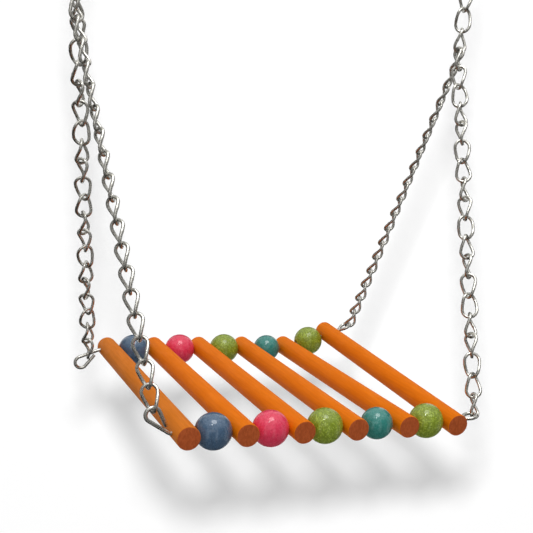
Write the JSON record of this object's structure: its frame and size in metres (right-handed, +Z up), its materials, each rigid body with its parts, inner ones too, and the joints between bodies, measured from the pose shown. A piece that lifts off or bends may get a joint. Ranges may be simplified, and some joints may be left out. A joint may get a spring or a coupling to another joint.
{
  "type": "bird swing",
  "caption": "Hanging cage swing for a small bird: a slatted platform of wooden dowels and round beads on two bent wires, held at its corners by twisted-link chains.",
  "frame": {"origin": "midway between the inner tops of the two top links, where the swing is hung", "axes": "+Z up; +X along the two wires, from the left end to the right end; +Y along the dowels, from the front wire to the rear wire"},
  "size_m": [0.1962, 0.147, 0.2281],
  "materials": {
    "dowel_wood": "dyed orange, matt, lightly mottled",
    "bead_blue": "glossy lacquer",
    "bead_pink": "glossy lacquer",
    "bead_green": "glossy lacquer with fine glitter",
    "bead_teal": "glossy lacquer",
    "chain_nickel": "bright nickel plate on steel",
    "wire_nickel": "bright nickel plate on steel"
  },
  "bodies": {
    "hangers": {"top_link_left": "chain_nickel", "top_link_right": "chain_nickel"},
    "upper_left": {"upper_chain_left": "chain_nickel"},
    "upper_right": {"upper_chain_right": "chain_nickel"},
    "cradle": {"chain_front_left": "chain_nickel", "chain_front_right": "chain_nickel", "chain_rear_left": "chain_nickel", "chain_rear_right": "chain_nickel", "wire_front": "wire_nickel", "wire_rear": "wire_nickel", "dowel_1": "dowel_wood", "dowel_2": "dowel_wood", "dowel_3": "dowel_wood", "dowel_4": "dowel_wood", "dowel_5": "dowel_wood", "dowel_6": "dowel_wood"},
    "bead_front_1": {"bead_front_1": "bead_blue"},
    "bead_front_2": {"bead_front_2": "bead_pink"},
    "bead_front_3": {"bead_front_3": "bead_green"},
    "bead_front_4": {"bead_front_4": "bead_teal"},
    "bead_front_5": {"bead_front_5": "bead_green"},
    "bead_rear_1": {"bead_rear_1": "bead_blue"},
    "bead_rear_2": {"bead_rear_2": "bead_pink"},
    "bead_rear_3": {"bead_rear_3": "bead_green"},
    "bead_rear_4": {"bead_rear_4": "bead_teal"},
    "bead_rear_5": {"bead_rear_5": "bead_green"}
  },
  "joints": [
    {"name": "swing_fore_aft", "type": "hinge", "parent": "hangers", "child": "upper_left", "pos_m": [-0.094, 0, -0.01052], "axis": [1, 0, 0], "range_deg": [-45, 45]},
    {"name": "swing_fore_aft_right", "type": "hinge", "parent": "hangers", "child": "upper_right", "pos_m": [0.094, 0, -0.01052], "axis": [1, 0, 0], "range_deg": [-45, 45]},
    {"name": "cradle_rock", "type": "hinge", "parent": "upper_left", "child": "cradle", "pos_m": [-0.094, 0, -0.04931], "axis": [1, 0, 0], "range_deg": [-35, 35]},
    {"name": "spin_front_1", "type": "hinge", "parent": "cradle", "child": "bead_front_1", "pos_m": [-0.0428, -0.0656, -0.2164], "axis": [1, 0, 0], "continuous": true},
    {"name": "spin_front_2", "type": "hinge", "parent": "cradle", "child": "bead_front_2", "pos_m": [-0.0174, -0.0656, -0.2164], "axis": [1, 0, 0], "continuous": true},
    {"name": "spin_front_3", "type": "hinge", "parent": "cradle", "child": "bead_front_3", "pos_m": [0.008, -0.0656, -0.2164], "axis": [1, 0, 0], "continuous": true},
    {"name": "spin_front_4", "type": "hinge", "parent": "cradle", "child": "bead_front_4", "pos_m": [0.0334, -0.0656, -0.2164], "axis": [1, 0, 0], "continuous": true},
    {"name": "spin_front_5", "type": "hinge", "parent": "cradle", "child": "bead_front_5", "pos_m": [0.0588, -0.0656, -0.2164], "axis": [1, 0, 0], "continuous": true},
    {"name": "spin_rear_1", "type": "hinge", "parent": "cradle", "child": "bead_rear_1", "pos_m": [-0.0428, 0.0656, -0.2164], "axis": [1, 0, 0], "continuous": true},
    {"name": "spin_rear_2", "type": "hinge", "parent": "cradle", "child": "bead_rear_2", "pos_m": [-0.0174, 0.0656, -0.2164], "axis": [1, 0, 0], "continuous": true},
    {"name": "spin_rear_3", "type": "hinge", "parent": "cradle", "child": "bead_rear_3", "pos_m": [0.008, 0.0656, -0.2164], "axis": [1, 0, 0], "continuous": true},
    {"name": "spin_rear_4", "type": "hinge", "parent": "cradle", "child": "bead_rear_4", "pos_m": [0.0334, 0.0656, -0.2164], "axis": [1, 0, 0], "continuous": true},
    {"name": "spin_rear_5", "type": "hinge", "parent": "cradle", "child": "bead_rear_5", "pos_m": [0.0588, 0.0656, -0.21241], "axis": [0.9538, 0, 0.3004], "continuous": true}
  ],
  "couplings": [
    {"joint": "swing_fore_aft_right", "follows": "swing_fore_aft", "ratio": 1}
  ]
}
